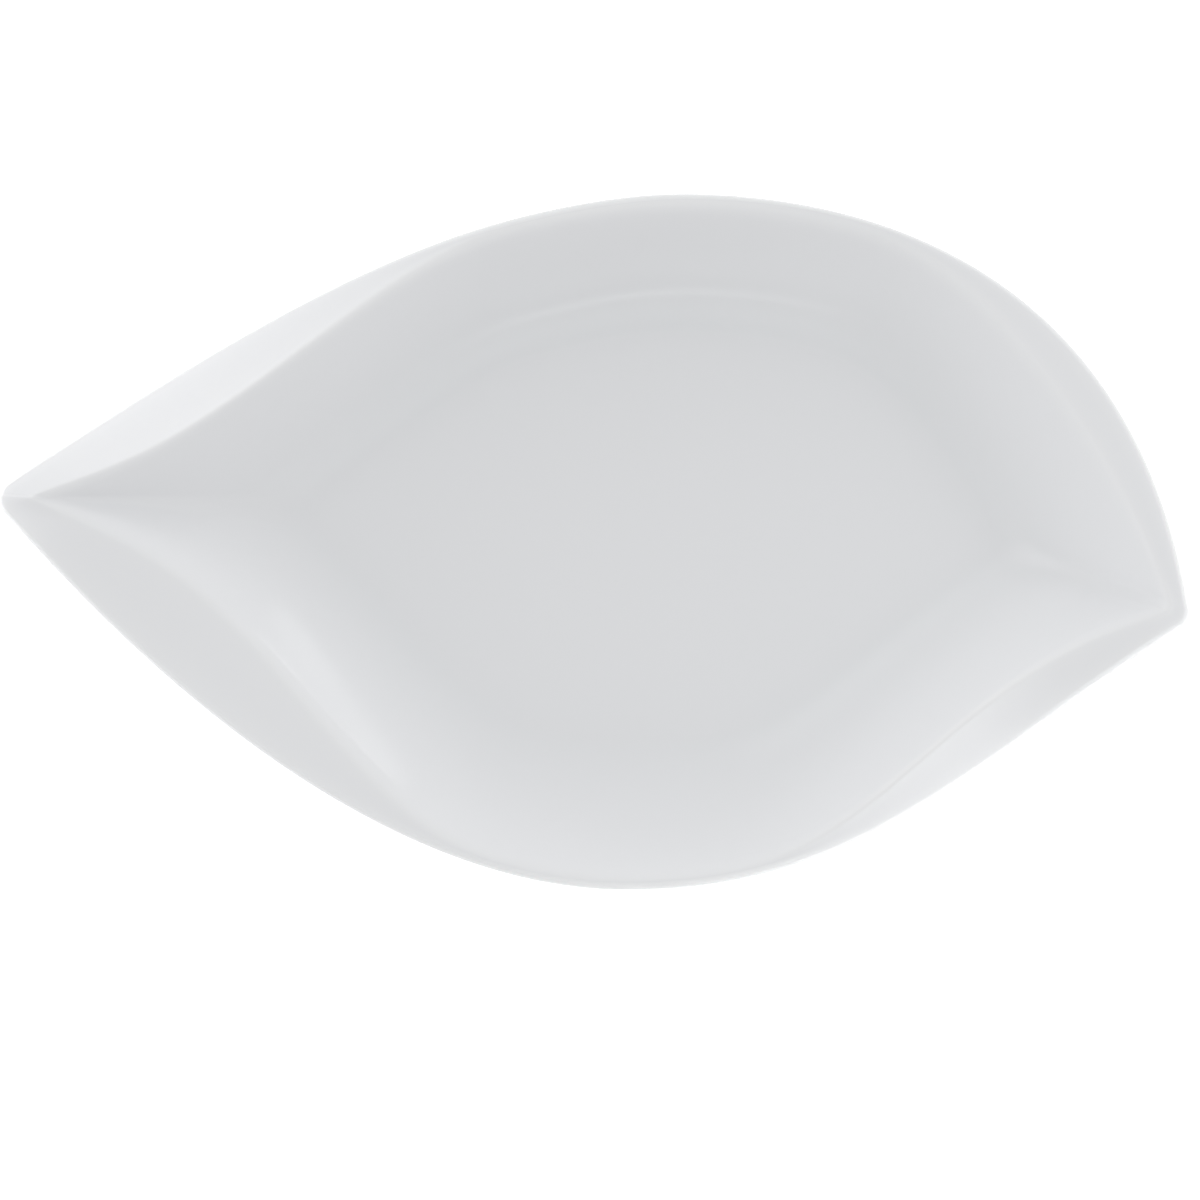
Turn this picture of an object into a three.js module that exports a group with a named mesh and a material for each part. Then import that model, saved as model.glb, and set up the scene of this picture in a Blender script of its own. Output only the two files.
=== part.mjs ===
// Leaf-shaped oval serving plate in hard porcelain: one fired body on a bare ground foot ring, a coat of clear
// glaze over its face, rim and outside, and a second coat inside the foot ring.
// Millimetres, +Z up, standing on Z = 0. X runs from the drawn-out left tip to the blunt right tip, and +Y is the
// far side. The well is bounded by a crest line. Outside the crest, four brims run from the tips and fade into the
// rim at the far and near bulges.
import * as THREE from "three";

// Plan of the rim, between the points where its edges would meet if the tips were not rounded.
const TIP_SPAN = 362.5;
const WIDTH = 214;
const LEFT_TIP_OFFSET = 12.5;
const RIGHT_TIP_OFFSET = -26;
const LEFT_TIP_ROUND = 7;
const RIGHT_TIP_ROUND = 5;
const FAR_BULGE_OFFSET = 28.5;
const NEAR_BULGE_OFFSET = 11.5;

// The four edges of the rim. An edge leaves its tip at a heading in degrees from +X and comes level at its bulge;
// the two pulls are the handle lengths of that curve. Its brim is so wide at the tip and at its widest, which lies
// so far along the edge, and it ends so far along. It falls outwards by so many degrees near the tip and further on.
// The fade shapes how a brim narrows to its end: 1 is a cosine, and more draws it in earlier.
const BRIM_FADE = 1.5;
const FAR_LEFT_EDGE = {
  heading: 39,
  tipPull: 130,
  bulgePull: 30,
  brimAtTip: 5,
  brimWidest: 14.5,
  widestAt: 60,
  brimEnd: 172,
  tipFall: 33,
  endFall: 33,
};
const NEAR_LEFT_EDGE = {
  heading: -49,
  tipPull: 61.5,
  bulgePull: 77.5,
  brimAtTip: 5,
  brimWidest: 23,
  widestAt: 70,
  brimEnd: 186,
  tipFall: 3,
  endFall: 5,
};
const NEAR_RIGHT_EDGE = {
  heading: 213,
  tipPull: 90.5,
  bulgePull: 67,
  brimAtTip: 1.5,
  brimWidest: 10.5,
  widestAt: 48,
  brimEnd: 150,
  tipFall: 3,
  endFall: 30,
};
const FAR_RIGHT_EDGE = {
  heading: 97,
  tipPull: 119,
  bulgePull: 45,
  brimAtTip: 1.5,
  brimWidest: 9.5,
  widestAt: 78,
  brimEnd: 165,
  tipFall: 2,
  endFall: 2,
};

// Section: the foot, the floor, the sloping wall of the well, and the rim.
const FOOT_HEIGHT = 3;
const FOOT_WIDTH = 5;
const FOOT_SETBACK = 3;
const FOOT_CHAMFER = 0.6;
const FLOOR_THICKNESS = 5;
const FLOOR_FILLET = 9;
const WELL_DEPTH = 22;
const WALL_RUN = 27;
const WALL_THICKNESS = 4.4;
const VALLEY_ROUND = 15;
const CREST_ROUND = 2.5;
const RIM_LAND = 1.6;
const RIM_THICKNESS = 3.8;
const LEFT_TIP_RISE = 4;
const RIGHT_TIP_RISE = 4;
const LEFT_TIP_DROOP = 2.5;
const RIGHT_TIP_DROOP = 1;
const TIP_BLEND = 30;

// Glaze: its thickness, the hairline between it and the body, and how far above the table it is wiped off the foot.
const GLAZE = 0.3;
const GLAZE_GAP = 0.05;
const GLAZE_LINE = 1.4;

// How finely the edges are traced, how many points each side of a ring has, and how far those points draw
// together towards the tips: 0 spaces them evenly, and 1 the most unevenly.
const TRACE_STEPS = 140;
const SIDE_STEPS = 46;
const TIP_BUNCHING = 0.8;

const FLOOR_TOP = FOOT_HEIGHT + FLOOR_THICKNESS;
const RIM_RADIUS = RIM_THICKNESS / 2;
const RIM_ROLL = RIM_RADIUS + RIM_LAND;
const WALL_DROP = WALL_THICKNESS * Math.hypot(1, WELL_DEPTH / WALL_RUN);
const FOOT_INSET = WALL_RUN + FLOOR_FILLET + FOOT_SETBACK;

const { lerp, smoothstep, degToRad } = THREE.MathUtils;

const leftTip = new THREE.Vector2(-TIP_SPAN / 2, LEFT_TIP_OFFSET);
const rightTip = new THREE.Vector2(TIP_SPAN / 2, RIGHT_TIP_OFFSET);

// One edge of the rim in plan, traced from its tip to its bulge at even steps.
function traceEdge(edge, tip, bulge) {
  const heading = degToRad(edge.heading);
  const tipHandle = new THREE.Vector2(Math.cos(heading), Math.sin(heading)).multiplyScalar(edge.tipPull).add(tip);
  const bulgeHandle = new THREE.Vector2(bulge.x + Math.sign(tip.x - bulge.x) * edge.bulgePull, bulge.y);
  return new THREE.CubicBezierCurve(tip, tipHandle, bulgeHandle, bulge).getSpacedPoints(TRACE_STEPS);
}

// How wide an edge's brim is beyond the rolled rim, at a distance along the edge from its tip.
function brimWidth(edge, along) {
  if (along < edge.widestAt) {
    return lerp(edge.brimAtTip, edge.brimWidest, Math.sin((Math.PI / 2) * (along / edge.widestAt)));
  }
  const fade = Math.min(1, (along - edge.widestAt) / (edge.brimEnd - edge.widestAt));
  return edge.brimWidest * Math.max(0, Math.cos((Math.PI / 2) * fade)) ** BRIM_FADE;
}

// How far the rim lies below the crest there. Both edges of a tip start from the same droop.
function brimFall(edge, along, tipDroop) {
  const twist = smoothstep(along, edge.widestAt, (edge.widestAt + edge.brimEnd) / 2);
  const slope = Math.tan(degToRad(lerp(edge.tipFall, edge.endFall, twist)));
  return lerp(tipDroop, brimWidth(edge, along) * slope, smoothstep(along, 0, TIP_BLEND));
}

// Distances along a line of points from its first one.
function distancesAlong(points) {
  const distances = [0];
  for (let i = 1; i < points.length; i++) {
    distances.push(distances[i - 1] + points[i].distanceTo(points[i - 1]));
  }
  return distances;
}

// The point at a distance along a line of points.
function pointAlong(points, distances, distance) {
  let i = 1;
  while (i < points.length - 1 && distances[i] < distance) i++;
  const share = (distance - distances[i - 1]) / (distances[i] - distances[i - 1]);
  return points[i - 1].clone().lerp(points[i], share);
}

// A line of points moved sideways, to its left, by a distance for each point.
function movedLeft(points, distances) {
  return points.map((point, i) => {
    const before = points[Math.max(0, i - 1)];
    const after = points[Math.min(points.length - 1, i + 1)];
    const heading = after.clone().sub(before).normalize();
    return new THREE.Vector2(-heading.y, heading.x).multiplyScalar(distances[i]).add(point);
  });
}

// Where two short lines cross, or null.
function crossing(a, b, c, d) {
  const ab = b.clone().sub(a);
  const cd = d.clone().sub(c);
  const ac = c.clone().sub(a);
  const turn = ab.cross(cd);
  const onAb = ac.cross(cd) / turn;
  const onCd = ac.cross(ab) / turn;
  if (!(onAb >= 0 && onAb <= 1 && onCd >= 0 && onCd <= 1)) return null;
  return a.clone().lerp(b, onAb);
}

// Cuts two lines that run from the same end at the crossing furthest along, before the middle of the first.
function trimmedStart(first, second) {
  for (let i = Math.floor(first.length / 2); i > 0; i--) {
    for (let j = Math.floor(second.length / 2); j > 0; j--) {
      const corner = crossing(first[i - 1], first[i], second[j - 1], second[j]);
      if (corner) return [[corner, ...first.slice(i)], [corner.clone(), ...second.slice(j)]];
    }
  }
  return [first, second];
}

// A closed outline in plan, held as its far and near sides from left to right, with the roundings of its corners.
class Loop {
  constructor(far, near, leftRound, rightRound) {
    const [farLeft, nearLeft] = trimmedStart(far, near);
    const [farBack, nearBack] = trimmedStart(farLeft.toReversed(), nearLeft.toReversed());
    this.sides = { far: farBack.toReversed(), near: nearBack.toReversed() };
    this.distances = { far: distancesAlong(this.sides.far), near: distancesAlong(this.sides.near) };
    this.leftRound = leftRound;
    this.rightRound = rightRound;
  }

  length(side) {
    return this.distances[side].at(-1);
  }

  // The point at a share of a side's length. Near a corner it lies on an arc that joins the two sides.
  pointAt(side, share) {
    const distance = share * this.length(side);
    const fromRight = this.length(side) - distance;
    if (distance < this.leftRound) return this.onCorner(side, distance, this.leftRound, false);
    if (fromRight < this.rightRound) return this.onCorner(side, fromRight, this.rightRound, true);
    return pointAlong(this.sides[side], this.distances[side], distance);
  }

  onCorner(side, distance, round, atRight) {
    const other = side === "far" ? "near" : "far";
    const [own, across] = [side, other].map((name) =>
      pointAlong(this.sides[name], this.distances[name], atRight ? this.length(name) - round : round),
    );
    const corner = this.sides[side].at(atRight ? -1 : 0);
    return new THREE.QuadraticBezierCurve(across, corner, own).getPoint(0.5 + (0.5 * distance) / round);
  }

  // The outline moved inwards by a distance for each point of a side.
  inset(farDistances, nearDistances, leftRound, rightRound) {
    const far = movedLeft(this.sides.far, farDistances.map((distance) => -distance));
    const near = movedLeft(this.sides.near, nearDistances);
    return new Loop(far, near, leftRound, rightRound);
  }
}

// One side of the rim, from the left tip to the right, with what each share of its length holds.
class RimSide {
  constructor(leftEdge, rightEdge, bulge) {
    const left = traceEdge(leftEdge, leftTip, bulge);
    const right = traceEdge(rightEdge, rightTip, bulge);
    this.points = [...left, ...right.toReversed().slice(1)];
    this.distances = distancesAlong(this.points);
    this.leftEdge = leftEdge;
    this.rightEdge = rightEdge;
    this.leftLength = this.distances[left.length - 1];
    this.length = this.distances.at(-1);
  }

  crestInset(distance) {
    const onLeft = distance < this.leftLength;
    const along = onLeft ? distance : this.length - distance;
    return RIM_ROLL + brimWidth(onLeft ? this.leftEdge : this.rightEdge, along);
  }

  fall(share) {
    const distance = share * this.length;
    if (distance < this.leftLength) return brimFall(this.leftEdge, distance, LEFT_TIP_DROOP);
    return brimFall(this.rightEdge, this.length - distance, RIGHT_TIP_DROOP);
  }

  // Depth of the well below the crest at a share of the side: the crest sweeps up towards both tips.
  depth(share) {
    const bulge = this.leftLength / this.length;
    if (share < bulge) return WELL_DEPTH + LEFT_TIP_RISE * (1 - share / bulge) ** 2;
    return WELL_DEPTH + RIGHT_TIP_RISE * ((share - bulge) / (1 - bulge)) ** 2;
  }
}

const rim = {
  far: new RimSide(FAR_LEFT_EDGE, FAR_RIGHT_EDGE, new THREE.Vector2(FAR_BULGE_OFFSET, WIDTH / 2)),
  near: new RimSide(NEAR_LEFT_EDGE, NEAR_RIGHT_EDGE, new THREE.Vector2(NEAR_BULGE_OFFSET, -WIDTH / 2)),
};
const outline = new Loop(rim.far.points, rim.near.points, LEFT_TIP_ROUND, RIGHT_TIP_ROUND);
const crest = outline.inset(
  rim.far.distances.map((distance) => rim.far.crestInset(distance)),
  rim.near.distances.map((distance) => rim.near.crestInset(distance)),
  LEFT_TIP_ROUND,
  RIGHT_TIP_ROUND,
);

// The places of a ring's points: sides and shares, counter-clockwise from the left tip, closer together at the tips.
const shares = Array.from({ length: SIDE_STEPS }, (_, i) => {
  const even = i / SIDE_STEPS;
  return lerp(even, (1 - Math.cos(Math.PI * even)) / 2, TIP_BUNCHING);
});
const places = [
  ...shares.map((share) => ["near", share]),
  ...shares.map((share) => ["far", 1 - share]),
];

// Height of the well's face above its floor, at a distance in from the crest, for a crest so high above the floor.
// The wall is straight, and arcs join it to the floor and round its crest over.
function wellHeight(distance, depth) {
  const slope = depth / WALL_RUN;
  const fromFloor = WALL_RUN - distance;
  if (fromFloor < -FLOOR_FILLET) return 0;
  if (fromFloor < FLOOR_FILLET) return (slope * (fromFloor + FLOOR_FILLET) ** 2) / (4 * FLOOR_FILLET);
  const overCrest = Math.max(0, CREST_ROUND - distance);
  return slope * (fromFloor - overCrest ** 2 / (4 * CREST_ROUND));
}

// How thick the plate is, measured straight down, at a distance in from the crest.
function wellThickness(distance) {
  const upWall = smoothstep(-distance, -WALL_RUN - FLOOR_FILLET, -WALL_RUN + FLOOR_FILLET);
  return lerp(FLOOR_THICKNESS, WALL_DROP, upWall);
}

// A ring inside the crest: its distance in, and a height for each point from the crest's depth there.
function wellRing(distance, heightFor) {
  const valley = Math.min(1, distance / WALL_RUN);
  const loop = crest.inset(
    crest.sides.far.map(() => distance),
    crest.sides.near.map(() => distance),
    lerp(LEFT_TIP_ROUND, VALLEY_ROUND, valley),
    lerp(RIGHT_TIP_ROUND, VALLEY_ROUND, valley),
  );
  return places.map(([side, share]) => {
    const point = loop.pointAt(side, share);
    return new THREE.Vector3(point.x, point.y, heightFor(rim[side].depth(share)));
  });
}

const faceRing = (distance) => wellRing(distance, (depth) => FLOOR_TOP + wellHeight(distance, depth));
const backRing = (distance) =>
  wellRing(distance, (depth) => FLOOR_TOP + wellHeight(distance, depth) - wellThickness(distance));
const levelRing = (distance, height) => wellRing(distance, () => height);

// A ring on the brim: a share of the way from the crest to where the rolled rim starts, on the face or the back.
function brimRing(share, onFace) {
  return places.map(([side, part]) => {
    const inner = crest.pointAt(side, part);
    const outer = outline.pointAt(side, part);
    const land = 1 - RIM_RADIUS / inner.distanceTo(outer);
    const point = inner.lerp(outer, land * share);
    const depth = rim[side].depth(part);
    const edgeHeight = FLOOR_TOP + depth - rim[side].fall(part);
    const crestHeight = FLOOR_TOP + wellHeight(0, depth);
    const thickness = onFace ? 0 : lerp(WALL_DROP, RIM_THICKNESS, share);
    return new THREE.Vector3(point.x, point.y, lerp(crestHeight, edgeHeight, share) - thickness);
  });
}

// A ring of the half-round rim, at an angle in degrees from its face edge over to its back edge.
function rimRing(angle) {
  const turn = degToRad(angle);
  return places.map(([side, part]) => {
    const inner = crest.pointAt(side, part);
    const outer = outline.pointAt(side, part);
    const inward = (RIM_RADIUS * (1 - Math.sin(turn))) / inner.distanceTo(outer);
    const point = outer.lerp(inner, inward);
    const edgeHeight = FLOOR_TOP + rim[side].depth(part) - rim[side].fall(part);
    return new THREE.Vector3(point.x, point.y, edgeHeight - RIM_RADIUS * (1 - Math.cos(turn)));
  });
}

const middle = new THREE.Vector2((FAR_BULGE_OFFSET + NEAR_BULGE_OFFSET) / 2, 0);
const pole = (height) => [new THREE.Vector3(middle.x, middle.y, height)];

// The body's section from the middle of the face, over the rim and round the foot, to the middle of the base.
const midWall = (WALL_RUN - FLOOR_FILLET + CREST_ROUND) / 2;
const faceSection = [
  pole(FLOOR_TOP),
  levelRing(FOOT_INSET + FOOT_WIDTH, FLOOR_TOP),
  ...[1, 1 / 3, -1 / 3, -1].map((share) => faceRing(WALL_RUN + share * FLOOR_FILLET)),
  faceRing(midWall),
  faceRing(CREST_ROUND),
  faceRing(0),
  ...[1 / 3, 2 / 3].map((share) => brimRing(share, true)),
  ...[0, 45, 90, 135, 180].map(rimRing),
  brimRing(1 / 2, false),
  backRing(0),
  backRing(midWall),
  backRing(WALL_RUN - FLOOR_FILLET),
  backRing(WALL_RUN),
  backRing(WALL_RUN + FLOOR_FILLET),
  levelRing(FOOT_INSET, FOOT_HEIGHT),
  levelRing(FOOT_INSET, GLAZE_LINE),
];
const bareFoot = [
  levelRing(FOOT_INSET, FOOT_CHAMFER),
  levelRing(FOOT_INSET + FOOT_CHAMFER, 0),
  levelRing(FOOT_INSET + FOOT_WIDTH - FOOT_CHAMFER, 0),
  levelRing(FOOT_INSET + FOOT_WIDTH, FOOT_CHAMFER),
];
const baseSection = [
  levelRing(FOOT_INSET + FOOT_WIDTH, GLAZE_LINE),
  levelRing(FOOT_INSET + FOOT_WIDTH, FOOT_HEIGHT),
  pole(FOOT_HEIGHT),
];

// Triangles of the band between two rings, given where their vertices start. A ring of one point is a pole.
function band(ring, start, nextRing, nextStart) {
  const triangles = [];
  for (let i = 0; i < places.length; i++) {
    const next = (i + 1) % places.length;
    const [a, b] = [i, next].map((k) => start + (ring.length > 1 ? k : 0));
    const [c, d] = [i, next].map((k) => nextStart + (nextRing.length > 1 ? k : 0));
    if (c !== d) triangles.push([a, c, d]);
    if (a !== b) triangles.push([a, d, b]);
  }
  return triangles;
}

// Triangles over a run of rings whose vertices start at a number, and where each ring starts.
function skin(rings, start) {
  const starts = [start];
  for (const ring of rings) starts.push(starts.at(-1) + ring.length);
  const triangles = rings.slice(1).flatMap((ring, i) => band(rings[i], starts[i], ring, starts[i + 1]));
  return { triangles, starts };
}

function meshGeometry(rings, triangles) {
  const geometry = new THREE.BufferGeometry();
  const positions = rings.flat().flatMap((point) => point.toArray());
  geometry.setAttribute("position", new THREE.Float32BufferAttribute(positions, 3));
  geometry.setIndex(triangles.flat());
  geometry.computeVertexNormals();
  return geometry;
}

const bodySection = [...faceSection, ...bareFoot, ...baseSection];
const body = meshGeometry(bodySection, skin(bodySection, 0).triangles);

// Rings of the body, from one of them up to another, moved out along its surface by a distance.
function raisedRings(from, to, distance) {
  const normals = body.getAttribute("normal");
  const { starts } = skin(bodySection, 0);
  return bodySection.slice(from, to).map((ring, r) =>
    ring.map((point, i) => {
      const normal = new THREE.Vector3().fromBufferAttribute(normals, starts[from + r] + i);
      return normal.multiplyScalar(distance).add(point);
    }),
  );
}

// A coat of glaze over those rings: its front, its back turned to the body, and the edge where it was wiped off.
function glazeCoat(from, to) {
  const front = raisedRings(from, to, GLAZE_GAP + GLAZE);
  const back = raisedRings(from, to, GLAZE_GAP);
  const frontSkin = skin(front, 0);
  const backSkin = skin(back, frontSkin.starts.at(-1));
  const triangles = [...frontSkin.triangles, ...backSkin.triangles.map(([a, b, c]) => [a, c, b])];
  const last = front.length - 1;
  if (front[0].length > 1) triangles.push(...band(back[0], backSkin.starts[0], front[0], frontSkin.starts[0]));
  if (front[last].length > 1) {
    triangles.push(...band(front[last], frontSkin.starts[last], back[last], backSkin.starts[last]));
  }
  return meshGeometry([...front, ...back], triangles);
}

const faceGlaze = glazeCoat(0, faceSection.length);
const baseGlaze = glazeCoat(faceSection.length + bareFoot.length, bodySection.length);

const biscuit = new THREE.MeshStandardMaterial({ color: 0xece8df, roughness: 0.85, metalness: 0 });
const clearGlaze = new THREE.MeshStandardMaterial({ color: 0xeff1f2, roughness: 0.12, metalness: 0 });

const plate = new THREE.Group();
for (const [name, geometry, material] of [
  ["porcelain_body", body, biscuit],
  ["face_glaze", faceGlaze, clearGlaze],
  ["base_glaze", baseGlaze, clearGlaze],
]) {
  const mesh = new THREE.Mesh(geometry, material);
  mesh.name = name;
  plate.add(mesh);
}
const centre = new THREE.Box3().setFromObject(plate).getCenter(new THREE.Vector3());
plate.position.set(-centre.x, -centre.y, 0);

export default plate;
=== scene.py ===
"""Leaf-shaped oval serving plate in glazed hard porcelain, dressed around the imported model.

The classes hold their sizes in millimetres, as a potter would draw them, and MM turns them to metres.
X runs from the drawn-out left tip to the blunt right tip, +Y is the far side and +Z is up.
"""

import logging
import math
from dataclasses import dataclass
from enum import Enum
from functools import cached_property, partial
from typing import Any, Callable

import bpy
import numpy as np
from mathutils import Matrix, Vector

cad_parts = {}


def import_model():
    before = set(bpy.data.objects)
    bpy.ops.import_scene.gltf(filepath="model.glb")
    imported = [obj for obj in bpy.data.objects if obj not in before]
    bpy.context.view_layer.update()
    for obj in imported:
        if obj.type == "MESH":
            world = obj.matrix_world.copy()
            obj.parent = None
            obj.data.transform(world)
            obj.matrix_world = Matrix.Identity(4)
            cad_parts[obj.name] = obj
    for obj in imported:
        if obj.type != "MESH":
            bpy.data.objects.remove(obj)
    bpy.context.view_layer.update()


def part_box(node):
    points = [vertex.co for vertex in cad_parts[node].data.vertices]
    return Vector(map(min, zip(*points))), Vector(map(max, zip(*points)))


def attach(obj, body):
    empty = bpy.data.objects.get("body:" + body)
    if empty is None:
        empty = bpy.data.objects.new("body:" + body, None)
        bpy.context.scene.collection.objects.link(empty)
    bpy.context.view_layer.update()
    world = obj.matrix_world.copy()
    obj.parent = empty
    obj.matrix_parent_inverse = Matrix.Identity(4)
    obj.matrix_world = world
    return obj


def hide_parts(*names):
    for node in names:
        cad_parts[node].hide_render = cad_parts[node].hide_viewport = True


MM = 0.001
# A Mix node's outputs share one name, so its colour is taken by number.
MIXED_COLOUR = 2

log = logging.getLogger("oval_plate")

Along = Callable[[np.ndarray], np.ndarray]


class Side(Enum):
    """The plate's two long sides, as the camera sees them."""

    FAR = "far"
    NEAR = "near"

    @property
    def across(self) -> "Side":
        """The other side."""
        return Side.NEAR if self is Side.FAR else Side.FAR


def even_shares(steps: int) -> np.ndarray:
    """The shares from 0 to 1 that so many even steps give."""
    return np.linspace(0, 1, steps + 1)


def stations(points: np.ndarray) -> np.ndarray:
    """The distance along a line of points, one point a row, from its first one to each."""
    lengths = np.linalg.norm(np.diff(points, axis=0), axis=1)
    return np.concatenate(([0.0], np.cumsum(lengths)))


def points_along(points: np.ndarray, distances: np.ndarray) -> np.ndarray:
    """The points at distances along a line of points, one point a row."""
    places = stations(points)
    return np.column_stack([np.interp(distances, places, column) for column in points.T])


def moved_left(points: np.ndarray, distances: np.ndarray) -> np.ndarray:
    """A line of points moved sideways, to its left.

    Args:
        points: The line in plan, one point a row.
        distances: How far each point moves.

    Returns:
        The moved line.
    """
    heading = np.gradient(points, axis=0)
    heading /= np.linalg.norm(heading, axis=1, keepdims=True)
    left = np.column_stack((-heading[:, 1], heading[:, 0]))
    return points + left * distances[:, None]


def plan_cross(a: np.ndarray, b: np.ndarray) -> np.ndarray:
    """The cross product of vectors in plan."""
    return a[..., 0] * b[..., 1] - a[..., 1] * b[..., 0]


def trimmed_start(first: np.ndarray, second: np.ndarray) -> tuple[np.ndarray, np.ndarray]:
    """Cuts two lines that run from the same end at the crossing furthest along their first halves.

    Args:
        first: One line in plan.
        second: The other line.

    Returns:
        Both lines from the crossing on, or as they were where they don't cross.
    """
    a = first[: len(first) // 2]
    c = second[: len(second) // 2]
    ab = (first[1 : len(a) + 1] - a)[:, None]
    cd = (second[1 : len(c) + 1] - c)[None]
    ac = c[None] - a[:, None]
    with np.errstate(divide="ignore", invalid="ignore"):
        on_first = plan_cross(ac, cd) / plan_cross(ab, cd)
        on_second = plan_cross(ac, ab) / plan_cross(ab, cd)
    crossed = (on_first >= 0) & (on_first <= 1) & (on_second >= 0) & (on_second <= 1)
    hits = np.argwhere(crossed)
    if not len(hits):
        return first, second
    i, j = hits[-1]
    corner = a[i] + on_first[i, j] * ab[i, 0]
    return np.vstack((corner, first[i + 1 :])), np.vstack((corner, second[j + 1 :]))


def quadratic(start: np.ndarray, corner: np.ndarray, end: np.ndarray, share: Any) -> np.ndarray:
    """A point on the curve that rounds a corner, at a share of the way from its start to its end."""
    return (1 - share) ** 2 * start + 2 * share * (1 - share) * corner + share**2 * end


def smoothstep(value: np.ndarray, low: float, high: float) -> np.ndarray:
    """A smooth rise from 0 at low to 1 at high."""
    share = np.clip((value - low) / (high - low), 0, 1)
    return share * share * (3 - 2 * share)


def lerp(start: Any, end: Any, share: Any) -> Any:
    """The value at a share of the way from start to end."""
    return start + (end - start) * share


def direction(azimuth: float, elevation: float) -> Vector:
    """The unit vector towards an azimuth, counted from +X, and an elevation, both in degrees."""
    turn, tilt = math.radians(azimuth), math.radians(elevation)
    return Vector((math.cos(turn) * math.cos(tilt), math.sin(turn) * math.cos(tilt), math.sin(tilt)))


class Loop:
    """A closed outline in plan: its far and near sides, both from left to right, and its rounded corners."""

    def __init__(self, far: np.ndarray, near: np.ndarray, left_round: float, right_round: float) -> None:
        """Trims the two sides where they cross.

        Args:
            far: The far side's points, from left to right.
            near: The near side's points, from left to right.
            left_round: How far along both sides the rounding of the left corner reaches.
            right_round: The same for the right corner.
        """
        far, near = trimmed_start(far, near)
        far, near = trimmed_start(far[::-1], near[::-1])
        self.sides = {Side.FAR: far[::-1], Side.NEAR: near[::-1]}
        self.rounds = (left_round, right_round)

    def shares(self, side: Side) -> np.ndarray:
        """The share of a side's length at which each of its points lies."""
        places = stations(self.sides[side])
        return places / places[-1]

    def points(self, side: Side, shares: np.ndarray) -> np.ndarray:
        """Points on a side, which near a corner lie on the curve that rounds it.

        Args:
            side: The side.
            shares: The shares of its length, from left to right.

        Returns:
            One point in plan for each share.
        """
        line = self.sides[side]
        other = self.sides[side.across]
        length = stations(line)[-1]
        distances = shares * length
        found = points_along(line, distances)
        ends = ((line, other, distances), (line[::-1], other[::-1], length - distances))
        for (own, across, reach), rounding in zip(ends, self.rounds):
            close = reach < rounding
            at_rounding = np.array([rounding])
            start = points_along(across, at_rounding)
            end = points_along(own, at_rounding)
            turn = (0.5 + 0.5 * reach[close] / rounding)[:, None]
            found[close] = quadratic(start, own[:1], end, turn)
        return found

    def inset(self, distances: dict[Side, np.ndarray], left_round: float, right_round: float) -> "Loop":
        """The outline moved inwards.

        Args:
            distances: How far each point of each side moves.
            left_round: The rounding of the new left corner.
            right_round: The rounding of the new right corner.

        Returns:
            The new outline.
        """
        far = moved_left(self.sides[Side.FAR], -distances[Side.FAR])
        near = moved_left(self.sides[Side.NEAR], distances[Side.NEAR])
        return Loop(far, near, left_round, right_round)


@dataclass(frozen=True)
class RimEdge:
    """A quarter of the rim, from a tip to a bulge, and the brim that lies along it.

    The edge leaves its tip at a heading in degrees from +X and comes level at its bulge; the two pulls are
    the handle lengths of that curve. Distances along the edge start at the tip. The brim falls outwards by
    so many degrees near the tip and by so many further on, and twists from the one to the other in between.
    The tip gain is the share by which the wall below sweeps further into the well at the tip.
    """

    heading: float
    tip_pull: float
    bulge_pull: float
    brim_at_tip: float
    brim_widest: float
    widest_at: float
    brim_end: float
    tip_fall: float
    end_fall: float
    crest_round: float
    tip_gain: float
    twist_start: float = 32.0
    twist_end: float = 80.0
    brim_fade: float = 1.5
    tip_blend: float = 20.0
    curve_points: int = 4000
    trace_points: int = 400

    def trace(self, tip: np.ndarray, bulge: np.ndarray) -> np.ndarray:
        """Traces the edge in plan.

        Args:
            tip: Where it starts.
            bulge: Where it ends.

        Returns:
            Its points, at even steps from the tip to the bulge.
        """
        heading = math.radians(self.heading)
        tip_handle = tip + self.tip_pull * np.array((math.cos(heading), math.sin(heading)))
        bulge_handle = bulge + (math.copysign(self.bulge_pull, tip[0] - bulge[0]), 0.0)
        share = np.linspace(0, 1, self.curve_points)[:, None]
        start = quadratic(tip, tip_handle, bulge_handle, share)
        end = quadratic(tip_handle, bulge_handle, bulge, share)
        curve = lerp(start, end, share)
        return points_along(curve, np.linspace(0, stations(curve)[-1], self.trace_points))

    def brim_width(self, along: np.ndarray) -> np.ndarray:
        """How wide the brim is beyond the rolled rim.

        Args:
            along: Distances along the edge.

        Returns:
            A width for each distance.
        """
        rise = np.sin(math.pi / 2 * np.clip(along / self.widest_at, 0, 1))
        fade = np.clip((along - self.widest_at) / (self.brim_end - self.widest_at), 0, 1)
        narrowed = self.brim_widest * np.cos(math.pi / 2 * fade).clip(0) ** self.brim_fade
        return np.where(along < self.widest_at, lerp(self.brim_at_tip, self.brim_widest, rise), narrowed)

    def brim_fall(self, along: np.ndarray, tip_droop: float) -> np.ndarray:
        """How far the rim lies below the crest.

        Args:
            along: Distances along the edge.
            tip_droop: How far the rim lies below the crest at the tip.

        Returns:
            A fall for each distance.
        """
        twist = smoothstep(along, self.twist_start, self.twist_end)
        slope = np.tan(np.radians(lerp(self.tip_fall, self.end_fall, twist)))
        return lerp(tip_droop, self.brim_width(along) * slope, smoothstep(along, 0, self.tip_blend))


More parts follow.
